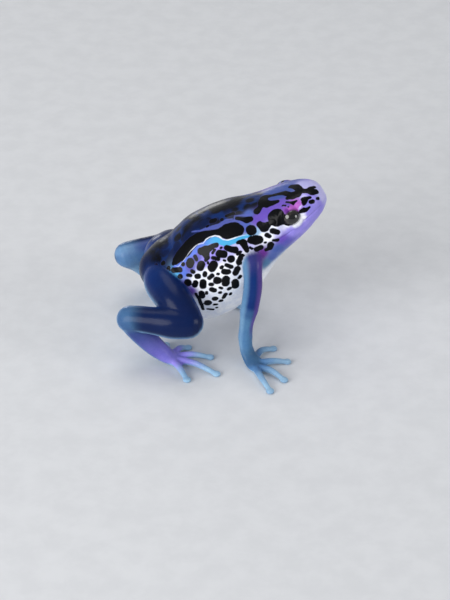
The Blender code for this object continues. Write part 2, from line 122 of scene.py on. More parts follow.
# ground colours of the head and trunk, soft patches that run into each other: x, y, z, size, colour.
# The right side is given (y < 0), and the left one mirrors it. Patches with y = 0 or more lie only where they are given
GROUND = (
    # crown and top of the snout
    (11.6, 0.0, 34.4, 1.6, "dusk"), (13.4, -2.0, 34.9, 1.1, "dusk"), (15.4, 0.0, 36.0, 1.6, "dusk"),
    (18.4, 0.0, 36.8, 1.3, "pale"), (21.3, 0.0, 36.4, 1.2, "pale"), (21.2, -1.9, 36.2, 0.9, "pale"),
    (20.3, -3.4, 35.9, 0.9, "lavender"),
    # snout and upper lip
    (23.2, 0.0, 35.0, 1.2, "pale"), (22.4, -2.6, 35.0, 0.9, "pale"), (21.8, -3.9, 34.2, 1.2, "lavender"),
    (20.4, -5.2, 33.4, 1.2, "lavender"), (19.6, -4.9, 35.0, 0.9, "lavender"), (18.9, -5.6, 34.0, 0.8, "lavender"),
    # the white along the upper lip under the eye is the lip's pale line, and in front of the eye it is also a painted
    # highlight
    (18.7, -6.0, 33.0, 0.5, "white"), (18.7, -6.1, 32.3, 0.6, "white"), (18.3, -6.7, 31.7, 0.6, "white"),
    (17.6, -7.3, 31.3, 0.5, "white"), (16.8, -7.7, 30.9, 0.5, "white"), (19.5, -5.7, 32.9, 0.7, "lavender"),
    (20.2, -5.1, 33.7, 0.7, "lavender"), (19.5, -5.8, 31.7, 0.7, "lavender"), (18.7, -6.2, 30.8, 0.7, "lavender"),
    # brow and temple
    (16.4, -5.8, 34.9, 0.9, "magenta"), (17.4, -5.4, 34.7, 0.9, "magenta"), (15.7, -6.2, 34.9, 0.6, "magenta"),
    (14.9, -6.6, 34.6, 0.5, "plum"), (17.6, -6.0, 34.3, 0.5, "magenta"), (18.0, -5.4, 34.6, 0.3, "pale"),
    (15.2, -5.0, 35.0, 0.6, "violet"), (18.6, -4.0, 35.9, 0.5, "pale"),
    (15.4, 4.6, 35.3, 1.5, "dusk"), (13.2, 4.4, 34.2, 1.4, "dusk"), (17.4, 4.4, 35.2, 1.2, "slate"),
    (13.4, -3.8, 34.6, 1.1, "violet"), (11.6, -4.4, 33.6, 1.1, "violet"), (10.3, -5.2, 32.5, 1.1, "violet"),
    (9.1, -5.8, 31.6, 0.9, "violet"),
    # neck and cheek
    (7.0, -4.0, 32.1, 0.7, "slate"), (6.3, -6.2, 30.4, 0.7, "slate"), (8.7, -7.3, 29.2, 0.7, "sky"),
    (12.0, -7.1, 30.2, 0.7, "white"), (14.8, -7.9, 30.8, 0.7, "white"), (9.9, -7.6, 28.3, 0.8, "white"),
    (11.5, -7.5, 28.6, 0.8, "white"), (13.3, -7.4, 28.9, 0.6, "pale"),
    # jaw and throat
    (16.4, -7.0, 29.6, 1.1, "lavender"), (18.3, -6.0, 29.8, 0.9, "lavender"), (14.3, -7.1, 27.6, 1.0, "violet"),
    (15.0, -6.6, 26.8, 1.0, "iris"), (13.5, -6.8, 25.0, 1.1, "slate"), (12.3, -6.7, 22.9, 0.9, "slate"),
    (10.9, -7.0, 21.8, 0.9, "steel"), (10.0, -8.0, 24.6, 0.8, "plum"), (9.0, -8.4, 23.8, 0.6, "plum"),
    (17.5, -3.0, 27.4, 1.5, "lavender"), (20.5, -2.0, 30.2, 1.4, "lavender"), (14.0, 0.0, 23.4, 2.2, "sky"),
    (11.0, -3.0, 19.6, 1.8, "white"),
    # back
    (8.6, -1.0, 33.2, 1.3, "ink"), (5.4, -1.4, 32.3, 1.7, "ink"), (5.4, 0.0, 32.6, 1.7, "ink"),
    (0.1, -1.9, 30.8, 1.7, "ink"), (0.6, 0.0, 31.0, 1.7, "ink"), (2.9, -2.4, 31.6, 0.6, "navy"),
    (-2.1, -3.1, 29.4, 1.0, "navy"), (-3.4, 0.0, 29.4, 1.7, "ink"), (-4.0, -3.6, 28.2, 0.8, "navy"),
    (-5.8, -4.2, 26.7, 1.1, "navy"), (-7.0, -2.0, 26.4, 1.4, "ink"), (-8.3, -4.8, 23.9, 1.1, "navy"),
    (-9.2, 0.0, 24.6, 1.6, "ink"), (-10.4, -3.0, 22.6, 1.2, "navy"),
    # rump
    (-12.2, 0.0, 21.2, 1.5, "ink"), (-12.2, -4.0, 20.4, 1.3, "ink"), (-14.4, -2.0, 18.4, 1.3, "navy"),
    (-13.4, -5.2, 17.6, 1.5, "navy"), (-11.2, -6.6, 18.6, 1.2, "navy"), (-14.4, -3.4, 16.6, 1.2, "navy"),
    (-15.4, 0.0, 14.6, 1.4, "navy"),
    (-9.1, -7.8, 18.6, 0.8, "cyan"), (-8.2, -8.0, 19.6, 0.7, "cyan"),
    # upper flank
    (-5.3, -8.8, 21.6, 0.9, "iris"), (-6.6, -8.5, 20.5, 0.9, "periwinkle"), (-3.7, -8.5, 23.8, 0.9, "iris"),
    (-5.9, -9.2, 17.9, 0.7, "iris"), (-4.9, -9.5, 16.4, 0.7, "violet"), (-2.3, -9.2, 23.2, 0.9, "lavender"),
    (-0.4, -9.1, 24.5, 0.9, "lavender"), (1.4, -8.5, 26.2, 0.9, "lavender"), (3.3, -9.0, 25.4, 0.7, "pale"),
    (5.3, -8.7, 26.0, 0.6, "pale"), (7.0, -8.3, 26.8, 0.7, "pale"),
    # flank and belly
    (-3.2, -9.9, 19.0, 1.3, "white"), (-0.6, -10.1, 20.6, 1.5, "white"), (0.1, -9.9, 16.2, 1.8, "white"),
    (3.9, -9.9, 20.2, 1.8, "white"), (2.4, -8.1, 11.8, 1.8, "white"), (5.3, -9.2, 23.6, 1.1, "white"),
    (6.8, -8.8, 24.9, 0.8, "white"), (5.4, -8.6, 15.6, 1.6, "white"), (0.0, 0.0, 5.6, 3.2, "white"), (1.5, -5.7, 7.9, 1.4, "white"),
    (-5.0, -4.0, 5.6, 2.2, "white"), (7.5, -4.0, 15.8, 2.2, "white"), (-11.0, 0.0, 9.0, 2.2, "sky"),
)

# black markings of the right side: chains of x, y, z, half width. The left side repeats them a little changed
MARKS = {
    "crown_a": ((16.1, 0.4, 36.0, 0.59), (17.0, -0.1, 36.3, 0.81), (17.7, -1.5, 36.4, 0.77), (18.5, -2.3, 36.4, 0.56),
                (19.5, -2.2, 36.5, 0.6), (20.2, -1.3, 36.6, 0.47), (21.0, -0.6, 36.5, 0.22)),
    "crown_b": ((19.5, -2.3, 36.5, 0.68), (20.3, -2.5, 36.3, 0.77), (21.2, -2.0, 36.2, 0.59)),
    "crown_c": ((17.9, -1.8, 36.4, 0.77), (17.2, -2.9, 36.1, 0.89), (16.2, -3.2, 35.7, 0.77), (15.3, -3.3, 35.4, 0.44)),
    "crown_d": ((17.2, -2.7, 36.1, 0.85), (15.8, -2.5, 35.7, 0.64), (14.5, -1.3, 35.4, 0.68), (13.3, -1.0, 35.0, 0.43),
                (11.6, -0.8, 34.4, 0.34)),
    "nape": ((11.6, -0.8, 34.4, 0.46), (10.4, -0.6, 33.9, 0.87), (10.1, -2.1, 33.7, 1.09), (11.0, -3.1, 33.8, 0.9),
             (12.0, -3.3, 34.1, 0.65), (13.1, -3.4, 34.5, 0.39)),
    "nape_low": ((10.1, -2.4, 33.6, 0.86), (9.5, -3.4, 33.1, 0.54), (8.9, -4.0, 32.6, 0.75)),
    "nose_bridge": ((18.45, -4.35, 35.6, 0.44), (18.9, -4.3, 35.6, 0.52), (18.65, -4.8, 35.2, 0.48), (18.55, -5.1, 34.9, 0.20)),
    "nose_arm": ((19.0, -4.2, 35.7, 0.36), (19.9, -3.8, 35.8, 0.22)),
    "snout": ((20.0, -4.5, 35.1, 0.34), (20.5, -4.3, 35.1, 0.38)),
    "nostril": ((21.35, -3.25, 35.2, 0.27), (21.6, -3.2, 35.2, 0.27)),
    "lore": ((18.65, -5.65, 33.9, 0.40), (18.9, -5.6, 33.8, 0.40), (19.4, -5.4, 34.0, 0.26), (19.8, -5.1, 34.2, 0.16)),
    "brow_1": ((15.0, -4.25, 34.9, 0.13), (15.7, -4.6, 35.0, 0.20), (16.5, -4.65, 35.15, 0.26), (17.05, -4.5, 35.35, 0.14)),
    "brow_2": ((14.2, -4.85, 34.4, 0.18), (14.7, -5.25, 34.7, 0.18)),
    "brow_3": ((15.25, -5.65, 34.9, 0.09), (15.3, -5.65, 34.9, 0.09)),
    "eye_patch": ((12.1, -6.0, 32.6, 0.82), (12.9, -6.5, 32.5, 1.85), (13.6, -7.1, 32.4, 1.5), (14.0, -7.5, 31.7, 0.95),
                  (15.1, -8.0, 31.3, 0.6), (16.0, -8.1, 31.4, 0.4)),
    "cheek": ((9.4, -6.4, 30.8, 0.58), (10.3, -6.9, 30.3, 0.92), (11.2, -6.7, 30.9, 0.54)),
    "neck_1": ((7.6, -6.9, 29.7, 1.01), (7.7, -6.9, 29.6, 1.01)),
    "neck_2": ((7.7, -7.8, 27.8, 0.77), (8.6, -7.8, 27.8, 1.03), (9.3, -7.7, 27.8, 0.82)),
    "back_1": ((4.6, -4.6, 31.2, 0.26), (5.5, -4.9, 31.2, 0.34), (6.7, -5.3, 31.2, 0.65), (7.4, -5.3, 31.4, 0.56)),
    "band": ((-8.8, -6.6, 21.3, 0.34), (-8.2, -6.6, 22.1, 0.86), (-7.3, -6.5, 23.2, 1.25), (-6.0, -6.4, 24.7, 1.42),
             (-4.8, -6.0, 26.1, 1.35), (-3.5, -5.8, 27.1, 1.18), (-2.0, -6.0, 27.8, 0.99), (-0.8, -6.1, 28.3, 0.67),
             (0.5, -6.3, 28.7, 0.69), (1.5, -6.6, 28.9, 1.12), (2.8, -6.6, 29.2, 1.63), (4.1, -6.6, 29.6, 1.59),
             (4.9, -6.7, 29.6, 1.2)),
    "back_2": ((2.5, -3.5, 31.1, 0.30), (3.9, -3.3, 31.5, 0.36)),
    "back_3": ((1.5, -4.0, 30.5, 0.32), (1.6, -4.1, 30.5, 0.32)),
    "back_4": ((-0.7, -3.6, 30.0, 0.50), (0.0, -3.7, 30.2, 0.50)),
    "back_5": ((-1.6, -4.4, 29.0, 0.18), (-1.3, -4.3, 29.1, 0.20)),
    "left_nape": ((8.6, 4.4, 32.3, 0.55), (10.2, 5.2, 32.3, 0.75), (11.6, 5.9, 32.3, 0.45)),
    "left_temple": ((13.2, 5.6, 33.3, 0.25), (14.2, 5.9, 33.9, 0.30)),
    "flank_big": ((-2.9, -8.0, 25.2, 0.69), (-1.9, -8.2, 25.5, 0.95), (-1.1, -8.1, 25.9, 0.56), (-0.3, -8.0, 26.5, 0.47),
                  (0.4, -8.0, 26.7, 0.43)),
    "flank_big2": ((-2.0, -8.3, 25.2, 0.86), (-1.6, -8.9, 24.3, 0.56), (-1.8, -9.1, 23.7, 0.3)),
    "shoulder": ((4.8, -8.2, 27.4, 0.26), (5.3, -8.1, 27.5, 0.34), (6.0, -8.2, 27.3, 0.73), (6.4, -8.4, 26.5, 0.56),
                 (6.8, -8.6, 25.7, 0.39)),
    "flank_2": ((2.5, -8.6, 26.4, 0.49), (3.4, -8.7, 26.1, 0.56), (4.3, -8.8, 26.0, 0.65)),
    "throat_1": ((11.7, -7.5, 26.4, 0.71), (11.6, -7.6, 25.8, 0.6)),
    "throat_2": ((10.8, -7.8, 25.4, 0.32), (11.4, -7.6, 25.6, 0.43)),
    "throat_3": ((12.3, -7.4, 27.5, 0.19), (13.2, -7.3, 27.5, 0.32)),
    "hip_1": ((-7.9, -8.4, 18.7, 0.43), (-8.5, -8.2, 18.4, 0.34), (-7.1, -8.8, 18.2, 0.34)),
    "hip_2": ((-9.4, -8.0, 16.4, 0.26), (-8.4, -8.4, 17.0, 0.39), (-7.3, -8.8, 17.1, 0.43), (-6.1, -9.2, 16.4, 0.34),
              (-5.2, -9.4, 15.9, 0.22)),
    "groin": ((-4.0, -9.6, 15.6, 0.20), (-3.3, -9.4, 14.2, 0.32), (-2.8, -9.0, 12.3, 0.32), (-2.5, -8.3, 10.8, 0.20)),
}

ONE_SIDED = {"crown_a", "crown_b", "crown_c", "crown_d", "nape", "nape_low", "brow_1", "left_nape", "left_temple"}  # these have no mirror image

# round spots of the flank, throat and rump: x, y, z of one end, of the other end, half width
SPOTS = (
    (-0.2, -9.7, 22.9, -0.6, -9.8, 22.2, 0.82), (-5.1, -8.4, 22.7, -5.2, -8.5, 22.4, 0.86),
    (2.4, -10.1, 19.6, 2.3, -10.0, 18.5, 0.75), (1.9, -9.1, 25.1, 1.0, -9.0, 25.2, 0.73),
    (-2.8, -9.3, 22.7, -3.0, -9.4, 22.1, 0.75), (5.7, -9.1, 24.4, 5.2, -9.4, 23.4, 0.67),
    (4.3, -9.7, 18.6, 4.4, -9.5, 17.5, 0.71), (-2.4, -10.0, 18.8, -2.5, -10.0, 17.8, 0.65),
    (0.5, -10.2, 19.3, 0.6, -10.2, 19.3, 0.8), (4.8, -9.6, 21.8, 4.4, -9.8, 20.9, 0.6),
    (-1.4, -9.2, 13.1, -1.5, -9.2, 13.0, 0.75), (-5.6, -9.4, 18.3, -5.7, -9.3, 18.2, 0.71),
    (-7.3, -8.1, 20.7, -8.7, -7.4, 20.1, 0.49), (3.5, -9.4, 24.2, 3.4, -9.5, 24.1, 0.69),
    (13.1, -7.3, 29.4, 12.1, -7.2, 29.7, 0.52), (2.8, -10.0, 21.3, 2.0, -10.0, 21.4, 0.56),
    (-2.8, -9.8, 15.9, -2.7, -9.7, 15.0, 0.58), (9.7, -8.0, 26.1, 8.8, -8.2, 25.8, 0.49),
    (-0.1, -10.0, 16.7, -0.6, -10.0, 17.0, 0.52), (-4.0, -9.8, 18.5, -4.2, -9.7, 17.8, 0.52),
    (0.1, -9.5, 14.3, 0.0, -9.5, 14.3, 0.58), (3.5, -9.8, 22.4, 2.5, -9.8, 22.9, 0.37),
    (-3.4, -9.7, 20.1, -3.7, -9.7, 20.0, 0.49), (-0.5, -10.1, 20.5, -1.1, -10.1, 19.9, 0.39),
    (0.8, -9.4, 24.1, -0.4, -9.2, 24.3, 0.32), (11.4, -7.4, 28.5, 10.9, -7.4, 28.8, 0.41),
    (2.3, -9.5, 15.4, 1.9, -9.3, 14.5, 0.37), (-2.0, -9.9, 20.9, -2.1, -10.0, 20.5, 0.41),
    (-7.2, -8.6, 19.3, -7.3, -8.6, 19.3, 0.47), (-4.1, -8.2, 24.0, -3.8, -8.6, 23.5, 0.32),
    (-0.6, -10.2, 18.3, -0.9, -10.1, 18.3, 0.37), (7.7, -8.6, 24.9, 7.1, -8.8, 24.6, 0.28),
    (-4.5, -9.3, 20.9, -4.7, -9.2, 21.0, 0.37), (3.2, -9.7, 17.0, 3.0, -9.7, 16.8, 0.34),
    (-5.1, -9.3, 20.0, -5.7, -9.1, 19.9, 0.3), (-0.4, -8.2, 10.7, -1.5, -8.4, 11.0, 0.24),
    (5.4, -9.5, 19.9, 5.2, -9.6, 19.6, 0.32), (1.4, -9.0, 13.5, 1.2, -9.1, 13.5, 0.34),
    (0.4, -8.8, 12.4, -0.1, -8.9, 12.4, 0.26), (-6.6, -7.9, 21.9, -6.7, -7.9, 21.9, 0.37),
    (1.2, -9.8, 16.0, 1.1, -9.8, 16.0, 0.32), (0.0, -8.5, 25.8, -0.4, -8.7, 25.2, 0.22),
    (1.6, -9.9, 22.5, 1.4, -9.9, 22.3, 0.28), (5.4, -8.8, 25.5, 4.8, -9.0, 25.1, 0.22),
    (3.4, -9.3, 15.5, 3.3, -9.2, 15.2, 0.26), (1.5, -9.9, 17.2, 1.1, -10.0, 17.4, 0.24),
    (-1.7, -9.9, 16.2, -1.7, -9.8, 15.8, 0.24), (9.0, -8.3, 24.8, 8.8, -8.3, 24.7, 0.24),
    (7.8, -8.3, 26.0, 7.4, -8.3, 26.3, 0.19), (0.8, -10.1, 20.9, 0.6, -10.1, 20.9, 0.22),
    (10.7, -7.7, 27.1, 10.5, -7.7, 27.1, 0.19), (1.4, -8.5, 26.4, 1.3, -8.5, 26.3, 0.19),
    (2.2, -9.6, 23.8, 1.9, -9.5, 23.9, 0.15), (0.4, -8.3, 11.3, 0.4, -8.3, 11.3, 0.19),
    (-1.4, -9.4, 23.3, -1.4, -9.5, 23.1, 0.17),
    (-11.3, -6.5, 18.8, -11.2, -6.5, 18.9, 0.56), (-13.1, -5.3, 18.0, -13.0, -5.3, 18.1, 0.43),
    (-12.5, -4.9, 19.6, -12.4, -4.9, 19.7, 0.39), (-11.0, -5.4, 20.6, -10.9, -5.4, 20.7, 0.43),
    (-9.8, -6.6, 20.2, -9.7, -6.6, 20.2, 0.32), (-13.5, -5.5, 16.6, -13.5, -5.5, 16.7, 0.37),
    (-12.1, -6.5, 17.2, -12.1, -6.5, 17.3, 0.3), (-14.0, -4.1, 18.4, -14.0, -4.1, 18.5, 0.32),
    (-9.6, -6.9, 19.8, -10.1, -6.8, 19.5, 0.28),
)

# the pale line under the black band, from the hip to the neck
STRIPE = (
    (-8.6, -7.1, 20.8, 0.22), (-7.3, -7.6, 21.6, 0.26), (-6.5, -7.7, 22.5, 0.34), (-5.6, -7.5, 23.7, 0.52),
    (-4.5, -7.6, 24.6, 0.6), (-3.5, -7.4, 25.6, 0.56), (-2.2, -7.3, 26.4, 0.52), (-1.2, -7.2, 27.1, 0.6),
    (-0.1, -7.2, 27.5, 0.65), (1.1, -7.7, 27.4, 0.65), (2.4, -8.1, 27.2, 0.65), (3.6, -8.0, 27.6, 0.6),
    (4.9, -7.9, 28.0, 0.52), (6.1, -7.6, 28.4, 0.43), (7.4, -7.4, 28.8, 0.34),
)
# painted highlight: a thin bright line along the upper edge of the pale stripe: x, y, z, half width
STRIPE_HIGHLIGHT = (
    (-8.6, -7.0, 21.0, 0.11), (-7.7, -7.6, 21.1, 0.13), (-6.9, -7.6, 22.1, 0.13), (-6.2, -7.5, 23.1, 0.13),
    (-5.2, -7.2, 24.6, 0.15), (-3.9, -6.9, 25.9, 0.15), (-3.3, -6.9, 26.3, 0.15), (-2.4, -7.1, 26.6, 0.15),
    (-1.8, -6.7, 27.3, 0.19), (-1.0, -6.6, 27.8, 0.19), (0.1, -6.7, 28.2, 0.22), (0.9, -7.0, 28.2, 0.22),
    (1.8, -7.6, 27.8, 0.19), (2.8, -7.8, 27.8, 0.19), (3.8, -7.7, 28.1, 0.19), (4.9, -7.6, 28.5, 0.17),
    (5.9, -7.5, 28.7, 0.15), (7.0, -7.4, 28.8, 0.11),
)
# painted highlights: pale lines beside the black marks of the brow and snout
PAINTED_GLEAMS = (
    ((17.9, -4.5, 35.5, 0.02), (18.1, -4.0, 35.8, 0.05), (18.6, -3.55, 36.05, 0.08), (19.2, -3.4, 36.1, 0.08),
     (19.8, -3.25, 36.1, 0.05)),
    ((15.2, -3.8, 35.2, 0.0), (15.9, -4.1, 35.25, 0.02), (16.35, -4.0, 35.45, 0.03), (16.9, -4.0, 35.6, 0.03),
     (17.3, -4.4, 35.45, 0.02), (17.65, -4.9, 35.15, 0.0)),
    ((21.1, -0.6, 36.4, 0.02), (21.9, -1.15, 36.0, 0.05), (22.4, -1.9, 35.25, 0.0)),
)
# the thin lines between the black of the back
NET = (
    ((-4.8, -3.9, 27.5, 0.13), (-3.1, -4.6, 28.1, 0.17), (-1.6, -4.8, 28.8, 0.34), (-0.3, -5.3, 29.1, 0.26),
     (0.9, -5.4, 29.6, 0.26), (2.0, -5.0, 30.3, 0.28), (3.0, -5.0, 30.6, 0.26), (4.3, -5.1, 30.9, 0.26),
     (5.5, -5.5, 30.8, 0.26), (6.3, -6.2, 30.3, 0.28), (6.6, -7.1, 29.3, 0.22)),
    ((4.1, -5.0, 30.9, 0.14), (4.2, -4.0, 31.4, 0.10), (5.3, -4.1, 31.6, 0.14), (6.8, -4.3, 31.8, 0.24), (7.8, -4.5, 32.0, 0.32)),
    ((-2.2, -4.7, 28.5, 0.08), (-1.1, -4.7, 29.0, 0.18), (0.9, -5.0, 29.9, 0.26), (2.4, -4.5, 30.6, 0.28), (3.7, -4.6, 31.0, 0.12)),
)
MOUTH = ((23.3, 0.0, 34.1, 0.0), (22.9, -2.3, 34.0, 0.0), (22.0, -3.8, 33.7, 0.0), (20.7, -5.0, 33.0, 0.0),
         (18.9, -6.1, 31.7, 0.0), (16.8, -6.9, 30.1, 0.0), (14.7, -7.2, 28.5, 0.0), (13.3, -7.3, 27.6, 0.0))
NOSTRIL = (21.4, -3.45, 35.25)
EARDRUM = (12.0, -7.0, 31.6)


# ---------------------------------------------------------------- shape

def spline(table, steps):
    """A Catmull-Rom curve through the rows of a table, in `steps` samples a span."""
    rows = np.array(table, float)
    rows = np.vstack([2 * rows[0] - rows[1], rows, 2 * rows[-1] - rows[-2]])
    out = []
    for i in range(1, len(rows) - 2):
        a, b, c, d = rows[i - 1 : i + 3]
        for t in np.arange(steps) / steps:
            out.append(0.5 * (2 * b + (c - a) * t + (2 * a - 5 * b + 4 * c - d) * t**2 + (3 * b - a - 3 * c + d) * t**3))
    out.append(rows[-2])
    return np.array(out)


def unit(v):
    return v / np.maximum(np.linalg.norm(v, axis=-1, keepdims=True), 1e-9)


def spine_rings(steps, sides):
    """Rings of the trunk and head, square to the spine, each a superellipse with its own upper and lower half."""
    rows = spline(SPINE, steps)
    rows[:, 2:5] = np.maximum(rows[:, 2:5], 0.15)
    along = unit(np.gradient(rows[:, :2], axis=0))
    angle = 2 * np.pi * np.arange(sides) / sides
    c, s = np.cos(angle), np.sin(angle)
    rings = []
    for (x, z, wide, high, deep, n_up, n_down), (tx, tz) in zip(rows, along):
        n = np.where(s >= 0, n_up, n_down)
        y = wide * np.sign(c) * np.abs(c) ** (2 / n)
        w = np.where(s >= 0, high, deep) * np.sign(s) * np.abs(s) ** (2 / n)
        rings.append(np.array([x, 0, z]) + np.outer(y, [0, 1, 0]) + np.outer(w, [-tz, 0, tx]))
    return rings


def tube_rings(table, steps, sides, caps=4):
    """Rings of a round-ended tube through a table of x, y, z, radius across, radius up."""
    rows = spline(table, steps)
    rows[:, 3:] = np.maximum(rows[:, 3:], 0.2)
    along = unit(np.gradient(rows[:, :3], axis=0))
    ends = []
    for row, t in ((rows[0], -along[0]), (rows[-1], along[-1])):
        radius = row[3:].mean()
        end = []
        for k in range(1, caps + 1):
            a = math.pi / 2 * k / caps
            q = row.copy()
            q[:3] += t * radius * math.sin(a)
            q[3:] *= max(math.cos(a), 0.04)
            end.append(q)
        ends.append(end)
    rows = np.vstack([ends[0][::-1], rows, ends[1]])
    along = np.vstack([[along[0]] * caps, along, [along[-1]] * caps])
    angle = 2 * np.pi * np.arange(sides) / sides
    rings = []
    for row, t in zip(rows, along):
        up = unit(np.array([0, 0, 1.0]) - t[2] * t)
        across = np.cross(t, up)
        rings.append(row[:3] + np.outer(np.cos(angle) * row[3], across) + np.outer(np.sin(angle) * row[4], up))
    return rings


def add_loft(bm, rings):
    loops = [[bm.verts.new(Vector(p) * MM) for p in ring] for ring in rings]
    n = len(rings[0])
    faces = []
    for a, b in zip(loops, loops[1:]):
        for i in range(n):
            faces.append(bm.faces.new((a[i], a[(i + 1) % n], b[(i + 1) % n], b[i])))
    faces += [bm.faces.new(loops[0][::-1]), bm.faces.new(loops[-1])]
    bmesh.ops.recalc_face_normals(bm, faces=faces)


def add_ball(bm, centre, radius, squash=1.0, segments=24):
    matrix = Matrix.Translation(Vector(centre) * MM) @ Matrix.Diagonal((1, 1, squash, 1))
    bmesh.ops.create_uvsphere(bm, u_segments=segments, v_segments=segments * 2 // 3, radius=radius * MM, matrix=matrix)


def as_left(rows, step_x=0.0, step_y=0.0, full=None, none=None, turn=0.0, about=(0.0, 0.0)):
    """The mirror image of a right limb's table. Its low end is stepped away, blending out from height full to none."""
    rows = np.array(rows, float)
    rows[:, 1] *= -1
    if full is not None:
        low = np.clip((none - rows[:, 2]) / (none - full), 0, 1)
        rows[:, 0] += step_x * low
        rows[:, 1] += step_y * low
    if turn:
        c, s = math.cos(math.radians(turn)), math.sin(math.radians(turn))
        dx, dy = rows[:, 0] - about[0], rows[:, 1] - about[1]
        rows[:, 0], rows[:, 1] = about[0] + c * dx - s * dy, about[1] + s * dx + c * dy
    return rows


def limb_tables(side):
    """All tables of one side, with the left hand and foot stepped and turned."""
    if side == "right":
        arm = sole = lambda rows: np.array(rows, float)

        def leg(rows, first, last):
            return np.array(rows, float)
    else:
        def arm(rows):
            return as_left(rows, LEFT_HAND_STEP, 0.0, 3.0, 22.0)

        def leg(rows, first, last):
            rows = as_left(rows)
            rows[:, 0] += LEFT_KNEE_STEP * np.linspace(first, last, len(rows))
            return rows

        heel = LEFT_TARSUS[-1]

        def sole(rows):
            return as_left(rows, *LEFT_FOOT_STEP, 2.0, 11.6, LEFT_FOOT_TURN, heel[:2])
    return {
        "thigh": leg(THIGH, 0, 1), "shank": leg(SHANK, 1, 1),
        "tarsus": np.array(TARSUS if side == "right" else LEFT_TARSUS, float),
        "sole": sole(SOLE), "toes": [sole(t) for t in TOES],
        "upper_arm": arm(UPPER_ARM), "forearm": arm(FOREARM), "palm": arm(PALM), "fingers": [arm(f) for f in FINGERS],
    }


def digit_table(points):
    root, knuckle, tip = points
    middle = (DIGIT_BASE + DIGIT_NECK) / 2
    return ((*root, DIGIT_BASE, DIGIT_BASE), (*knuckle, middle, middle), (*tip, DIGIT_NECK, DIGIT_NECK * 0.9))


def settle(obj):
    """Make an object's modifiers part of its mesh."""
    bpy.context.view_layer.update()
    done = bpy.data.meshes.new_from_object(obj.evaluated_get(bpy.context.evaluated_depsgraph_get()))
    obj.modifiers.clear()
    obj.data = done


def make_object(name, bm):
    mesh = bpy.data.meshes.new(name)
    bm.to_mesh(mesh)
    bm.free()
    obj = bpy.data.objects.new(name, mesh)
    bpy.context.scene.collection.objects.link(obj)
    return obj


def melted_body():
    """Trunk, head, limbs and orbits as one fine, softened surface."""
    bm = bmesh.new()
    add_loft(bm, spine_rings(8, 64))
    for side, sign in (("right", -1), ("left", 1)):
        tables = LIMBS[side]
        for name in ("thigh", "shank", "tarsus", "sole", "upper_arm", "forearm", "palm"):
            add_loft(bm, tube_rings(tables[name], 10, 32))
        for points in tables["toes"] + tables["fingers"]:
            add_loft(bm, tube_rings(digit_table(points), 8, 16))
            tip = points[2]
            add_ball(bm, tip + 0.1 * unit(tip - points[1]), DISC_RADIUS, DISC_THICKNESS / 2 / DISC_RADIUS)
        add_ball(bm, (EYE_PLACE[0], sign * EYE_PLACE[1], EYE_PLACE[2]), ORBIT_RADIUS, segments=48)
    body = make_object("skin", bm)
    melt = body.modifiers.new("melt", "REMESH")
    melt.mode, melt.voxel_size = "VOXEL", VOXEL * MM
    soften = body.modifiers.new("soften", "SMOOTH")
    soften.factor, soften.iterations = 0.5, SOFTEN
    settle(body)
    return body


def refine(body, places):
    """Finer faces round each of the places: x, y, z, reach."""
    bm = bmesh.new()
    bm.from_mesh(body.data)
    for x, y, z, reach in places:
        centre = Vector((x, y, z)) * MM
        near = [e for e in bm.edges if (e.verts[0].co - centre).length < reach * MM and (e.verts[1].co - centre).length < reach * MM]
        bmesh.ops.subdivide_edges(bm, edges=near, cuts=1, use_grid_fill=True, smooth=0.0)
    bm.to_mesh(body.data)
    bm.free()


def points_of(mesh):
    flat = np.empty(len(mesh.vertices) * 3, np.float32)
    mesh.vertices.foreach_get("co", flat)
    return flat.reshape(-1, 3).astype(float) / MM


def normals_of(mesh):
    flat = np.empty(len(mesh.vertices) * 3, np.float32)
    mesh.vertex_normals.foreach_get("vector", flat)
    return flat.reshape(-1, 3).astype(float)


def step(low, high, v):
    t = np.clip((v - low) / (high - low), 0, 1)
    return t * t * (3 - 2 * t)


def mirrored(point):
    return (point[0], -point[1], *point[2:])


def chain_distance(points, chain, reach=2.5):
    """Distance in mm from each point to a chain of x, y, z, half width. Below zero is inside."""
    out = np.full(len(points), 9.0)
    chain = np.array(chain, float)
    low, high = chain[:, :3].min(0) - chain[:, 3].max() - reach, chain[:, :3].max(0) + chain[:, 3].max() + reach
    near = np.where(((points > low) & (points < high)).all(1))[0]
    p = points[near]
    best = np.full(len(near), 9.0)
    for a, b in zip(chain, chain[1:]):
        ab = b[:3] - a[:3]
        t = np.clip(((p - a[:3]) @ ab) / max(ab @ ab, 1e-9), 0, 1)
        d = np.linalg.norm(p - a[:3] - t[:, None] * ab, axis=1) - (a[3] + (b[3] - a[3]) * t)
        best = np.minimum(best, d)
    out[near] = best
    return out


def eye_frame(sign):
    """Centre and the three axes of an eye: along the slit of the lids, across it, and the way it looks."""
    centre = np.array([EYE_PLACE[0], sign * EYE_PLACE[1], EYE_PLACE[2]])
    look = Vector((EYE_AXIS[0], sign * EYE_AXIS[1], EYE_AXIS[2])).normalized()
    jaw = Vector((math.cos(math.radians(32)), 0, math.sin(math.radians(32))))
    long = (jaw - jaw.dot(look) * look).normalized()
    tall = look.cross(long)
    if tall.z < 0:
        tall = -tall
    return centre, np.array(long), np.array(tall), np.array(look)


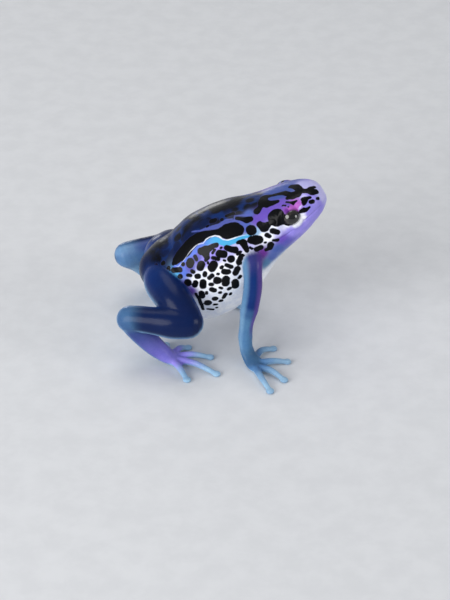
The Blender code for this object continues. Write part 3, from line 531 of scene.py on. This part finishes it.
def shape_lids(points, sign):
    """Open the skin over the eye: a thin lid rim on the eyeball, and the lids swelling out to the orbit. Also gives how
    strongly painted shade darkens the lid rim.
    """
    centre, long, tall, look = eye_frame(sign)
    v = points - centre
    r = np.linalg.norm(v, axis=1)
    d = v / np.maximum(r, 1e-6)[:, None]
    h = d @ look
    near = (r < 4.4) & (h > 0.02)
    a, b = (d @ long) * EYE_RADIUS, (d @ tall) * EYE_RADIUS
    e = np.sqrt((a / np.where(a > 0, 1.75, 1.86)) ** 2 + (b / np.where(b > 0, 1.55, 1.20)) ** 2) + 0.9 * np.maximum(r - 2.95, 0)
    snap = near & (np.abs(e - 1) < 0.05)
    scale = np.where(snap, 1 / np.maximum(e, 1e-6), 1.0)
    flat = (d @ long * scale)[:, None] * long + (d @ tall * scale)[:, None] * tall
    rest = np.sqrt(np.clip(1 - (flat**2).sum(1), 0, 1))
    d = np.where(snap[:, None], flat + rest[:, None] * look, d)
    e = np.where(snap, 1.0, e)
    lid = 1.78 + (2.12 - 1.78) * step(0.92, 1.0, e) + (2.27 - 2.12) * step(1.0, 1.10, e)
    settle_in = step(1.10, 1.50, e)
    radius = np.where(e < 1.10, lid, 2.27 + (np.maximum(r, 2.2) - 2.27) * settle_in)
    radius = np.where(h > 0.25, radius, radius + (r - radius) * step(0.25, 0.02, h))
    out = points.copy()
    out[near] = centre + d[near] * radius[near, None]
    return out, np.where(near & (h > 0.25), np.exp(-(((e - 1.02) / 0.07) ** 2)), 0.0)


# ---------------------------------------------------------------- colours

def linear(name):
    text = PALETTE[name]
    c = np.array([int(text[i : i + 2], 16) for i in (0, 2, 4)]) / 255
    return np.where(c <= 0.04045, c / 12.92, ((c + 0.055) / 1.055) ** 2.4)


def mix(a, b, f):
    f = np.asarray(f)[..., None]
    return a * (1 - f) + b * f


def tube_near(points, table, steps=8):
    """How far each point is outside a tube, and how far along it lies, from 0 to 1."""
    rows = spline(table, steps)
    best = np.full(len(points), 99.0)
    along = np.zeros(len(points))
    low, high = rows[:, :3].min(0) - 6, rows[:, :3].max(0) + 6
    near = np.where(((points > low) & (points < high)).all(1))[0]
    p = points[near]
    b_near, a_near = best[near], along[near]
    for i, (a, b) in enumerate(zip(rows, rows[1:])):
        ab = b[:3] - a[:3]
        t = np.clip(((p - a[:3]) @ ab) / max(ab @ ab, 1e-9), 0, 1)
        size = (a[3:].mean() + (b[3:].mean() - a[3:].mean()) * t)
        d = np.linalg.norm(p - a[:3] - t[:, None] * ab, axis=1) - size
        closer = d < b_near
        b_near[closer] = d[closer]
        a_near[closer] = (i + t[closer]) / (len(rows) - 1)
    best[near], along[near] = b_near, a_near
    return best, along


def trunk_near(points):
    """How far each point is outside the trunk and head."""
    rows = spline(SPINE, 6)
    tangent = unit(np.gradient(rows[:, :2], axis=0))
    best = np.full(len(points), 99.0)
    flat = points[:, [0, 2]]
    nearest = np.full(len(points), 1e9)
    pick = np.zeros(len(points), int)
    for i, row in enumerate(rows):
        d = np.abs((flat - row[:2]) @ tangent[i]) + 0.02 * np.linalg.norm(flat - row[:2], axis=1)
        closer = d < nearest
        nearest[closer], pick[closer] = d[closer], i
    row, t = rows[pick], tangent[pick]
    w = (flat[:, 1] - row[:, 1]) * t[:, 0] - (flat[:, 0] - row[:, 0]) * t[:, 1]
    high = np.where(w > 0, row[:, 3], row[:, 4])
    wide = row[:, 2]
    rho = np.sqrt((points[:, 1] / wide) ** 2 + (w / high) ** 2)
    best = (rho - 1) * np.minimum(wide, high)
    return best + np.maximum(nearest - 1.0, 0)


def ground_colour(points):
    """The soft ground colours of the head and trunk."""
    total = np.zeros((len(points), 3))
    weight = np.zeros(len(points))
    for x, y, z, size, name in GROUND:
        colour = linear(name)
        for sign in ((1, -1) if -50 < y < 0 else (1,)):
            d = np.linalg.norm(points - np.array([x, y * sign, z]), axis=1)
            w = (size / (d + 0.35 * size)) ** 5
            total += w[:, None] * colour
            weight += w
    return total / weight[:, None]


def leg_colour(normals, along, sign, core, upper, lower, inner):
    """Dark on the outer, upper face of a leg, pale along its upper and lower edges and on the inside. The pale edges
    are partly the leg's paler underside and partly a painted rim highlight along its outline.
    """
    out = normals @ np.array([0, sign * 0.84, 0.54])
    up = normals[:, 2]
    edge = mix(lower, upper, step(-0.2, 0.4, up))
    inside = step(-0.25, -0.75, out)
    edge = mix(edge, inner, inside)
    return mix(edge, core, step(0.12, 0.58, out))


def limb_colour(points, normals, tables, sign):
    """Colour of the limbs on one side, and how far outside the nearest limb each point is."""
    c = {name: linear(name) for name in PALETTE}
    best = np.full(len(points), 99.0)
    colour = np.zeros((len(points), 3))

    def lay(distance, value):
        nonlocal best, colour
        # neighbouring segments run into each other over about a millimetre
        share = step(-0.7, 0.7, best - distance)
        share = np.where(best > 90, 1.0, share)
        colour = mix(colour, value, share)
        best = np.minimum(best, distance)

    shade = c["slate"] * 0.6
    if sign < 0:
        top, low, inner = mix(c["navy"], c["royal"], 0.6), mix(c["sky"], c["steel"], 0.6), c["steel"]
    else:
        top, low, inner = shade, mix(c["navy"], c["steel"], 0.35), mix(c["steel"], shade, 0.4)
    d, t = tube_near(points, tables["thigh"])
    core = mix(mix(c["royal"], c["navy"], 0.6), mix(c["navy"], c["royal"], 0.06), step(0.1, 0.6, t))
    lay(d, leg_colour(normals, t, sign, core, top, low, inner))
    d, t = tube_near(points, tables["shank"])
    # paler towards the heel: the shank's own lighter colour there, and along its upper edge a painted highlight
    heel = step(0.60, 1.0, t)
    core = mix(mix(c["navy"], c["royal"], 0.08), mix(c["steel"], c["navy"], 0.35), heel)
    lay(d, leg_colour(normals, t, sign, core, mix(top, mix(c["steel"], c["sky"], 0.35), heel), low, inner))
    d, t = tube_near(points, tables["tarsus"])
    # the tarsus is darker at its upper end, under the shank: painted shade
    core = mix(mix(c["slate"], c["navy"], 0.5), mix(c["iris"], c["lavender"], 0.4), step(0.1, 0.8, t))
    lay(d, leg_colour(normals, t, sign, core, mix(c["navy"], c["iris"], 0.5), c["steel"], mix(c["steel"], c["sky"], 0.4)))
    d, t = tube_near(points, tables["sole"])
    lay(d, leg_colour(normals, t, sign, mix(c["lavender"], c["slate"], 0.25), c["lavender"], c["sky"], c["sky"]))
    for k, digit in enumerate(tables["toes"]):
        d, t = tube_near(points, digit_table(digit), 5)
        pale = mix(c["lavender"], c["sky"], step(0.2, 0.85, t))
        lay(d - 0.15, mix(pale, c["sky"], step(0.2, -0.4, normals[:, 2])))
    d, t = tube_near(points, tables["upper_arm"])
    front, rear = step(0.25, 0.75, normals[:, 0]), step(-0.2, -0.75, normals[:, 0])
    core = mix(mix(c["navy"], c["iris"], 0.3), mix(c["navy"], c["royal"], 0.5), step(0.2, 0.6, t))
    arm = mix(mix(core, c["violet"] * 0.55, front), mix(c["steel"], c["sky"], 0.15) * 0.9, rear)
    arm = mix(arm, c["steel"], step(0.1, -0.6, normals[:, 1] * sign))
    lay(d, arm)
    d, t = tube_near(points, tables["forearm"])
    core = mix(mix(c["steel"], c["navy"], 0.25), c["steel"], t)
    fore = mix(mix(core, c["violet"] * 0.7, front * step(0.75, 0.1, t)), c["sky"], rear * 0.4)
    lay(d, fore)
    d, t = tube_near(points, tables["palm"])
    lay(d, mix(mix(c["steel"], c["navy"], 0.4), c["sky"], step(0.1, -0.5, normals[:, 2])))
    for digit in tables["fingers"]:
        d, t = tube_near(points, digit_table(digit), 5)
        pale = mix(mix(c["steel"], c["slate"], 0.2), c["sky"] * 0.92, step(0.1, 0.85, t))
        lay(d - 0.15, mix(pale, c["sky"], step(0.2, -0.4, normals[:, 2])))
    return colour, best


def give(mesh, name, values):
    """Store one number or one colour for each vertex."""
    if values.ndim == 1:
        mesh.attributes.new(name, "FLOAT", "POINT").data.foreach_set("value", values.astype(np.float32))
    else:
        rgba = np.ones((len(values), 4), np.float32)
        rgba[:, :3] = values
        mesh.attributes.new(name, "FLOAT_COLOR", "POINT").data.foreach_set("color", rgba.ravel())


# ---------------------------------------------------------------- materials

class Nodes:
    """A short hand for node trees."""

    def __init__(self, name):
        self.material = bpy.data.materials.new(name)
        self.material.use_nodes = True
        self.tree = self.material.node_tree
        self.shader = self.tree.nodes["Principled BSDF"]

    def add(self, kind, **settings):
        node = self.tree.nodes.new(kind)
        for key, value in settings.items():
            setattr(node, key, value)
        return node

    def link(self, out, into):
        self.tree.links.new(out, into)

    def number(self, name):
        return self.add("ShaderNodeAttribute", attribute_name=name).outputs["Fac"]

    def noise(self, where, scale, detail=2.0, roughness=0.5):
        node = self.add("ShaderNodeTexNoise")
        self.link(where, node.inputs["Vector"])
        node.inputs["Scale"].default_value = scale
        node.inputs["Detail"].default_value = detail
        node.inputs["Roughness"].default_value = roughness
        return node.outputs["Fac"]

    def cells(self, where, scale):
        node = self.add("ShaderNodeTexVoronoi")
        self.link(where, node.inputs["Vector"])
        node.inputs["Scale"].default_value = scale
        return node.outputs["Distance"]

    def math(self, operation, a, b=None):
        node = self.add("ShaderNodeMath", operation=operation)
        for socket, value in zip(node.inputs, (a, b)):
            if value is None:
                continue
            if isinstance(value, (int, float)):
                socket.default_value = value
            else:
                self.link(value, socket)
        return node.outputs[0]

    def ramp(self, value, low, high, to_low=0.0, to_high=1.0, smooth=True):
        node = self.add("ShaderNodeMapRange", interpolation_type="SMOOTHSTEP" if smooth else "LINEAR")
        self.link(value, node.inputs["Value"])
        for socket, number in (("From Min", low), ("From Max", high), ("To Min", to_low), ("To Max", to_high)):
            node.inputs[socket].default_value = number
        return node.outputs["Result"]

    def blend(self, factor, a, b, how="MIX"):
        node = self.add("ShaderNodeMix", data_type="RGBA", blend_type=how)
        for socket, value in ((node.inputs[0], factor), (node.inputs[6], a), (node.inputs[7], b)):
            if isinstance(value, (int, float)):
                socket.default_value = value
            elif isinstance(value, (tuple, list, np.ndarray)):
                socket.default_value = (*[float(v) for v in value][:3], 1)
            else:
                self.link(value, socket)
        return node.outputs[2]


def skin_material():
    n = Nodes("frog_skin")
    where = n.add("ShaderNodeTexCoord").outputs["Object"]
    tint = n.add("ShaderNodeAttribute", attribute_name="tint").outputs["Color"]

    # broad and fine unevenness of the ground
    broad = n.noise(where, 420, 3, 0.55)
    fine = n.noise(where, 2600, 2, 0.6)
    ground = n.blend(n.ramp(broad, 0.3, 0.7, 0.0, 1.0), tint, n.blend(1.0, tint, (0.82, 0.85, 0.93), "MULTIPLY"))
    ground = n.blend(n.ramp(fine, 0.35, 0.75, 0.0, 0.5), ground, n.blend(1.0, ground, (1.18, 1.16, 1.10), "MULTIPLY"))

    # dark blue mottles between the black of the back
    bent = n.add("ShaderNodeVectorMath", operation="MULTIPLY_ADD")
    swirl = n.add("ShaderNodeTexNoise")
    n.link(where, swirl.inputs["Vector"])
    swirl.inputs["Scale"].default_value = 500
    n.link(swirl.outputs["Color"], bent.inputs[0])
    bent.inputs[1].default_value = (0.0011, 0.0011, 0.0011)
    n.link(where, bent.inputs[2])
    gaps = n.ramp(n.cells(bent.outputs[0], 430), 0.42, 0.66)
    gaps = n.math("MULTIPLY", gaps, n.ramp(n.noise(where, 170, 1), 0.46, 0.62))
    ground = n.blend(n.math("MULTIPLY", gaps, n.number("back")), ground, mix(linear("navy"), linear("royal"), 0.32))

    # the pale line along the flank; its bright upper edge is a painted highlight, laid on with the markings below
    wobble = n.math("MULTIPLY", n.math("SUBTRACT", n.noise(where, 900, 2), 0.5), 0.26)
    stripe = n.ramp(n.math("ADD", n.number("stripe"), wobble), -0.05, 0.12, 1.0, 0.0)
    along = n.number("along")
    colour = n.blend(n.ramp(along, -3.0, 0.5), linear("periwinkle"), linear("cyan"))
    ground = n.blend(stripe, ground, colour)
    net = n.ramp(n.math("ADD", n.number("net"), wobble), -0.10, 0.16, 1.0, 0.0)
    ground = n.blend(n.math("MULTIPLY", net, 0.8), ground, mix(linear("slate"), linear("iris"), 0.4))

    # black markings with a soft, slightly uneven edge and a thin dark blue border
    mark = n.math("ADD", n.number("mark"), n.math("MULTIPLY", n.math("SUBTRACT", n.noise(where, 1100, 2), 0.5), 0.26))
    halo = n.ramp(mark, MARK_GROWTH, MARK_GROWTH + 0.16, 0.30, 0.0)
    ground = n.blend(halo, ground, linear("iris") * 0.5)
    inside = n.ramp(mark, MARK_GROWTH - 0.04, MARK_GROWTH + 0.04, 1.0, 0.0)
    black = n.blend(n.ramp(broad, 0.5, 0.8, 0.0, 0.5), linear("ink") * 0.4, linear("navy") * 0.18)
    base = n.blend(inside, ground, black)
    # painted highlights: the bright line on the stripe's upper edge and the gleams beside the brow and snout marks
    edge = n.ramp(n.math("ADD", n.number("edge"), n.math("MULTIPLY", wobble, 0.6)), -0.16, 0.02, 1.0, 0.0)
    base = n.blend(n.math("MULTIPLY", edge, 0.9), base, (0.86, 0.90, 1.0))
    # painted shade: darker in the nostrils, along the mouth and round the lid rims
    base = n.blend(n.ramp(n.number("crease_shade"), 0.0, 1.0, 0.0, 0.55), base, linear("ink"))
    n.link(base, n.shader.inputs["Base Color"])

    # wet skin: fine grains, coarser on the belly
    grain = n.cells(where, 2300)
    pores = n.noise(where, 5200, 2, 0.6)
    relief = n.math("ADD", n.math("MULTIPLY", grain, n.ramp(n.number("belly"), 0.0, 1.0, 0.35, 1.0)), n.math("MULTIPLY", pores, 0.35))
    bump = n.add("ShaderNodeBump")
    bump.inputs["Strength"].default_value = 0.16
    bump.inputs["Distance"].default_value = 0.00025
    n.link(relief, bump.inputs["Height"])
    n.link(bump.outputs["Normal"], n.shader.inputs["Normal"])
    n.link(bump.outputs["Normal"], n.shader.inputs["Coat Normal"])
    rough = n.ramp(n.math("ADD", n.math("MULTIPLY", broad, 0.6), n.math("MULTIPLY", fine, 0.4)), 0.3, 0.7, 0.28, 0.44)
    n.link(n.math("ADD", rough, n.math("MULTIPLY", inside, 0.14)), n.shader.inputs["Roughness"])
    n.shader.inputs["Specular IOR Level"].default_value = 0.07
    n.shader.inputs["Coat Weight"].default_value = 0.27
    n.shader.inputs["Coat Roughness"].default_value = 0.08
    n.shader.inputs["Coat IOR"].default_value = 1.33
    return n.material


def eye_material():
    n = Nodes("frog_eye")
    where = n.add("ShaderNodeTexCoord").outputs["Object"]
    parts = n.add("ShaderNodeSeparateXYZ")
    n.link(where, parts.inputs[0])
    x, y = parts.outputs["X"], parts.outputs["Y"]
    r = EYE_RADIUS * MM
    wide = n.math("DIVIDE", x, 0.62 * r)
    tall = n.math("DIVIDE", y, 0.46 * r)
    pupil = n.math("SQRT", n.math("ADD", n.math("MULTIPLY", wide, wide), n.math("MULTIPLY", tall, tall)))
    streak = n.noise(where, 3200, 3, 0.7)
    iris = n.blend(n.ramp(streak, 0.35, 0.7), (0.006, 0.005, 0.005), (0.034, 0.027, 0.020))
    colour = n.blend(n.ramp(pupil, 0.92, 1.06), (0.001, 0.001, 0.0015), iris)
    n.link(colour, n.shader.inputs["Base Color"])
    n.link(n.ramp(streak, 0.3, 0.7, 0.05, 0.12), n.shader.inputs["Roughness"])
    n.shader.inputs["Specular IOR Level"].default_value = 0.35
    n.shader.inputs["Coat Weight"].default_value = 1.0
    n.shader.inputs["Coat Roughness"].default_value = 0.02
    n.shader.inputs["Coat IOR"].default_value = 1.5
    return n.material


def floor_material():
    n = Nodes("floor_paper")
    where = n.add("ShaderNodeTexCoord").outputs["Object"]
    shade = n.noise(where, 180, 3, 0.6)
    n.link(n.blend(n.ramp(shade, 0.3, 0.7), (0.70, 0.71, 0.73), (0.74, 0.75, 0.77)), n.shader.inputs["Base Color"])
    n.shader.inputs["Roughness"].default_value = 0.85
    n.shader.inputs["Specular IOR Level"].default_value = 0.2
    return n.material


# ---------------------------------------------------------------- the frog

LIMBS = {side: limb_tables(side) for side in ("right", "left")}
skin = melted_body()
spots = []
for sign in (-1, 1):
    spots.append((EYE_PLACE[0], sign * EYE_PLACE[1], EYE_PLACE[2], 4.3))
    spots.append((NOSTRIL[0], -sign * NOSTRIL[1], NOSTRIL[2], 1.1))
refine(skin, spots)

points = points_of(skin.data)
normals = normals_of(skin.data)

# nostrils, mouth line and eardrum, pressed into the skin before the lids are opened, with painted shade darkening the
# nostrils and the mouth line
crease_shade = np.zeros(len(points))
for sign in (-1, 1):
    flip = np.array([1, -sign, 1])
    d = np.linalg.norm((points - np.array(NOSTRIL) * flip) * np.array([0.85, 1, 1]), axis=1)
    points -= normals * (0.34 * np.exp(-((d / 0.24) ** 2)) - 0.07 * np.exp(-(((d - 0.5) / 0.22) ** 2)))[:, None]
    crease_shade = np.maximum(crease_shade, np.exp(-((d / 0.26) ** 2)))
    lips = chain_distance(points, [(x, -sign * y, z, w) for x, y, z, w in MOUTH])
    points -= normals * (0.13 * np.exp(-((lips / 0.16) ** 2)))[:, None]
    crease_shade = np.maximum(crease_shade, 0.55 * np.exp(-((lips / 0.10) ** 2)))
    d = np.linalg.norm(points - np.array(EARDRUM) * flip, axis=1)
    points -= normals * (0.05 * np.exp(-(((d - 0.9) / 0.18) ** 2)))[:, None]

look = {"points": points.copy(), "normals": normals}
for sign in (-1, 1):
    points, rim = shape_lids(points, sign)
    crease_shade = np.maximum(crease_shade, rim)
points[:, 2] = np.maximum(points[:, 2], 0.0)

# markings, and in edge the lines of painted highlight
mark = np.full(len(points), 9.0)
net = mark.copy()
stripe = mark.copy()
edge = mark.copy()
flat = look["points"]
rng = np.random.default_rng(7)
for name, chain in MARKS.items():
    mark = np.minimum(mark, chain_distance(flat, chain))
    if name not in ONE_SIDED:
        shift = rng.normal(0, 0.16, 3) if len(chain) < 7 and chain[0][0] < 11 else np.zeros(3)
        mark = np.minimum(mark, chain_distance(flat, [(x + shift[0], -y + shift[1] * 0.3, z + shift[2], w) for x, y, z, w in chain]))
for x1, y1, z1, x2, y2, z2, w in SPOTS:
    mark = np.minimum(mark, chain_distance(flat, ((x1, y1, z1, w), (x2, y2, z2, w))))
    dx, dz, grow = rng.normal(0, 0.14), rng.normal(0, 0.14), rng.uniform(0.88, 1.1)
    mark = np.minimum(mark, chain_distance(flat, ((x1 + dx, -y1, z1 + dz, w * grow), (x2 + dx, -y2, z2 + dz, w * grow))))
for side in (1, -1):
    stripe = np.minimum(stripe, chain_distance(flat, [(x, side * y, z, w) for x, y, z, w in STRIPE]))
    # the stripe's bright upper edge and the gleams are painted highlights
    edge = np.minimum(edge, chain_distance(flat, [(x, side * y, z, w) for x, y, z, w in STRIPE_HIGHLIGHT]))
    for chain in PAINTED_GLEAMS:
        edge = np.minimum(edge, chain_distance(flat, [(x, side * y, z, w) for x, y, z, w in chain]))
    for chain in NET:
        net = np.minimum(net, chain_distance(flat, [(x, side * y, z, w) for x, y, z, w in chain]))

# ground colours
ground = ground_colour(flat)
back = step(0.030, 0.012, ground @ np.array([0.3, 0.6, 0.1])) * step(0.0, 0.5, normals[:, 2])
trunk_gap = trunk_near(flat)
for side, sign in (("right", -1), ("left", 1)):
    colour, gap = limb_colour(flat, normals, LIMBS[side], sign)
    share = step(-0.9, 0.9, trunk_gap - gap)
    ground = mix(ground, colour, share)
    back *= 1 - share
    far = np.where(share > 0.5, 0.6 * (share - 0.5) * 2, -1)
    mark = np.where(share > 0.5, np.maximum(mark, far), mark)
    stripe = np.where(share > 0.5, np.maximum(stripe, far), stripe)
    net = np.where(share > 0.5, np.maximum(net, far), net)
    edge = np.where(share > 0.5, np.maximum(edge, far), edge)

mesh = skin.data
mesh.vertices.foreach_set("co", ((points - np.array([CENTRE_X, 0, 0])) * MM).astype(np.float32).ravel())
give(mesh, "tint", np.clip(ground, 0, 1))
give(mesh, "mark", mark)
give(mesh, "stripe", stripe)
# edge: the lines of painted highlight
give(mesh, "edge", edge)
give(mesh, "net", net)
give(mesh, "along", flat[:, 0])
give(mesh, "crease_shade", crease_shade)
give(mesh, "back", back)
give(mesh, "belly", step(0.2, -0.6, normals[:, 2]))
mesh.materials.clear()
mesh.materials.append(skin_material())
mesh.polygons.foreach_set("use_smooth", np.ones(len(mesh.polygons), bool))
mesh.update()
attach(skin, "root")
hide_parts(*[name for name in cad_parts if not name.startswith("eye_")])

# eyeballs, each with its own axis along its look
for side, sign in (("right", -1), ("left", 1)):
    centre, long, tall, gaze = eye_frame(sign)
    bm = bmesh.new()
    bmesh.ops.create_uvsphere(bm, u_segments=72, v_segments=48, radius=EYE_RADIUS * MM)
    eye = make_object(f"eyeball_{side}", bm)
    across = np.cross(tall, gaze)
    turn = Matrix([[across[i], tall[i], gaze[i]] for i in range(3)]).to_4x4()
    eye.matrix_world = Matrix.Translation(Vector(centre - np.array([CENTRE_X, 0, 0])) * MM) @ turn
    eye.data.polygons.foreach_set("use_smooth", np.ones(len(eye.data.polygons), bool))
    eye.data.materials.append(eye_material())
    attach(eye, "root")
    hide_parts(f"eye_{side}")

# ---------------------------------------------------------------- floor, light and camera

bm = bmesh.new()
bmesh.ops.create_grid(bm, x_segments=1, y_segments=1, size=3.0)
floor = make_object("floor", bm)
floor.data.materials.append(floor_material())

TARGET = Vector((2.17 - CENTRE_X, 0, 7.8)) * MM


def soft_box(name, way, distance, size, power, colour=(1, 1, 1)):
    light = bpy.data.lights.new(name, "AREA")
    light.shape, light.size, light.energy, light.color = "DISK", size, power, colour
    obj = bpy.data.objects.new(name, light)
    bpy.context.scene.collection.objects.link(obj)
    way = Vector(way).normalized()
    obj.location = TARGET + way * distance
    obj.rotation_mode = "QUATERNION"
    obj.rotation_quaternion = way.to_track_quat("Z", "Y")
    return obj


soft_box("key", (-0.665, -0.655, 0.359), 0.7, 0.54, 4.2)
soft_box("fill", (0.90, -0.33, 0.27), 0.7, 0.32, 1.2)
soft_box("top", (-0.10, 0.25, 1.00), 0.8, 0.60, 1.9)
soft_box("rim", (-0.30, 1.00, 0.10), 0.8, 0.22, 0.6)

world = bpy.data.worlds.new("studio")
world.use_nodes = True
world.node_tree.nodes["Background"].inputs["Color"].default_value = (0.85, 0.87, 0.90, 1)
world.node_tree.nodes["Background"].inputs["Strength"].default_value = 0.36
bpy.context.scene.world = world
bpy.context.scene.view_settings.view_transform = "Standard"

camera = bpy.data.cameras.new("camera")
camera.lens, camera.sensor_width = 124.2, 36.0
camera.clip_start, camera.clip_end = 0.01, 20.0
camera.dof.use_dof = False
eye_point = bpy.data.objects.new("camera", camera)
bpy.context.scene.collection.objects.link(eye_point)
tilt = math.radians(33)
back = Vector((0, -math.cos(tilt), math.sin(tilt)))
eye_point.location = TARGET + back * 0.45
eye_point.rotation_mode = "QUATERNION"
eye_point.rotation_quaternion = back.to_track_quat("Z", "Y")
bpy.context.scene.camera = eye_point
